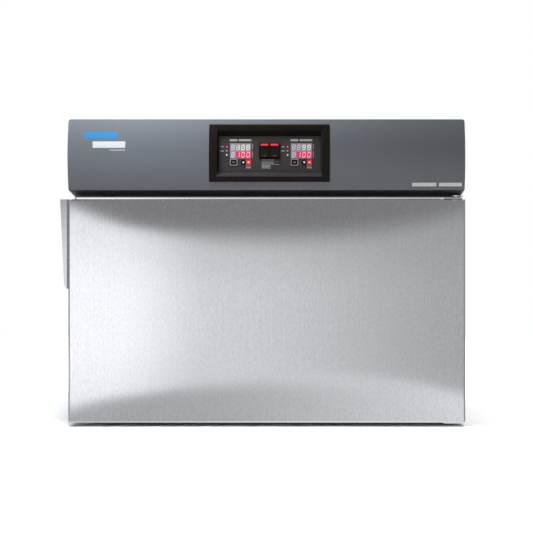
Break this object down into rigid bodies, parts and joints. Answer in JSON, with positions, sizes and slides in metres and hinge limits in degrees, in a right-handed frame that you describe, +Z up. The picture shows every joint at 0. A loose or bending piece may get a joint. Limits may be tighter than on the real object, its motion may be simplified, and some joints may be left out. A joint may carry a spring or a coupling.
{
  "type": "blanket warming cabinet",
  "caption": "Counter-top blanket warming cabinet: heated stainless cavity behind one hinged door, under a curved charcoal control head with displays, keys and rocker switches.",
  "frame": {"origin": "on the surface the feet rest on, midway across the body and midway between the door's front and the rear panel", "axes": "+Z up, +Y towards the back, +X to the right seen from the front"},
  "size_m": [0.69, 0.5575, 0.5225],
  "materials": {
    "stainless": "brushed satin stainless steel",
    "charcoal": "charcoal metallic paint, satin",
    "galvanised": "galvanised sheet",
    "black_plastic": "satin black moulding",
    "grey_overlay": "matte printed film",
    "display_lens": "tinted glossy window",
    "lamp_lens": "glossy",
    "red_plastic": "glossy",
    "rubber": "matte rubber",
    "gasket_rubber": "matte silicone rubber",
    "insulation": "compressed mineral fibre board",
    "screw_steel": "plated steel",
    "brass": "machined",
    "circuit_board": "solder mask",
    "cable_jacket": "silicone jacket",
    "core_steel": "varnished laminations"
  },
  "bodies": {
    "cabinet": {"base_pan": "galvanised", "casing_screws": "screw_steel", "cavity_liner": "stainless", "control_bezel": "black_plastic", "control_boards": "circuit_board", "control_overlay": "grey_overlay", "cord_gland": "black_plastic", "display_left": "display_lens", "display_right": "display_lens", "foot_screws": "screw_steel", "front_frame": "stainless", "head_chassis": "galvanised", "head_cover": "charcoal", "head_fascia": "charcoal", "head_rear_panel": "stainless", "head_screws": "screw_steel", "head_under_trim": "black_plastic", "heating_cable": "cable_jacket", "high_limit_thermostat": "black_plastic", "hinge_bracket_bottom": "stainless", "hinge_bracket_top": "stainless", "hinge_pins": "screw_steel", "hinge_screws": "screw_steel", "indicator_leds": "lamp_lens", "insulation_bottom": "insulation", "insulation_left": "insulation", "insulation_rear": "insulation", "insulation_right": "insulation", "insulation_top": "insulation", "outer_casing": "stainless", "power_relays": "black_plastic", "rack_studs": "screw_steel", "rear_panel": "stainless", "rocker_housing": "black_plastic", "rubber_feet": "rubber", "side_rack_left": "stainless", "side_rack_right": "stainless", "temperature_probe": "stainless", "terminal_block": "black_plastic", "transformer": "core_steel", "wiring_harness": "cable_jacket"},
    "door": {"door_skin": "stainless", "door_inner_panel": "stainless", "door_insulation": "insulation", "door_gasket": "gasket_rubber", "gasket_magnets": "screw_steel", "door_handle": "stainless", "handle_screws": "screw_steel", "door_screws": "screw_steel", "hinge_bushes": "brass"},
    "shelf": {"wire_shelf": "stainless"},
    "left_rocker": {"rocker_left": "black_plastic"},
    "right_rocker": {"rocker_right": "black_plastic"},
    "set_key_left_body": {"set_key_left": "black_plastic"},
    "down_key_left_body": {"down_key_left": "black_plastic"},
    "up_key_left_body": {"up_key_left": "red_plastic"},
    "set_key_right_body": {"set_key_right": "black_plastic"},
    "down_key_right_body": {"down_key_right": "black_plastic"},
    "up_key_right_body": {"up_key_right": "red_plastic"}
  },
  "joints": [
    {"name": "door_hinge", "type": "hinge", "parent": "cabinet", "child": "door", "pos_m": [0.326, -0.217, 0.1972], "axis": [0, 0, 1], "range_deg": [0, 110]},
    {"name": "shelf_slide", "type": "slide", "parent": "cabinet", "child": "shelf", "axis": [0, -1, 0], "range_m": [0, 0.012]},
    {"name": "left_rocker_tilt", "type": "hinge", "parent": "cabinet", "child": "left_rocker", "pos_m": [-0.00335, -0.26658, 0.4687], "axis": [1, 0, 0], "range_deg": [0, 20]},
    {"name": "right_rocker_tilt", "type": "hinge", "parent": "cabinet", "child": "right_rocker", "pos_m": [0.01335, -0.26658, 0.4687], "axis": [1, 0, 0], "range_deg": [0, 20]},
    {"name": "set_key_left_press", "type": "slide", "parent": "cabinet", "child": "set_key_left_body", "axis": [0, 1, 0], "range_m": [0, 0.0006], "stiffness_N_per_m": 300, "springref_m": -0.0005},
    {"name": "down_key_left_press", "type": "slide", "parent": "cabinet", "child": "down_key_left_body", "axis": [0, 1, 0], "range_m": [0, 0.0006], "stiffness_N_per_m": 300, "springref_m": -0.0005},
    {"name": "up_key_left_press", "type": "slide", "parent": "cabinet", "child": "up_key_left_body", "axis": [0, 1, 0], "range_m": [0, 0.0006], "stiffness_N_per_m": 300, "springref_m": -0.0005},
    {"name": "set_key_right_press", "type": "slide", "parent": "cabinet", "child": "set_key_right_body", "axis": [0, 1, 0], "range_m": [0, 0.0006], "stiffness_N_per_m": 300, "springref_m": -0.0005},
    {"name": "down_key_right_press", "type": "slide", "parent": "cabinet", "child": "down_key_right_body", "axis": [0, 1, 0], "range_m": [0, 0.0006], "stiffness_N_per_m": 300, "springref_m": -0.0005},
    {"name": "up_key_right_press", "type": "slide", "parent": "cabinet", "child": "up_key_right_body", "axis": [0, 1, 0], "range_m": [0, 0.0006], "stiffness_N_per_m": 300, "springref_m": -0.0005}
  ]
}
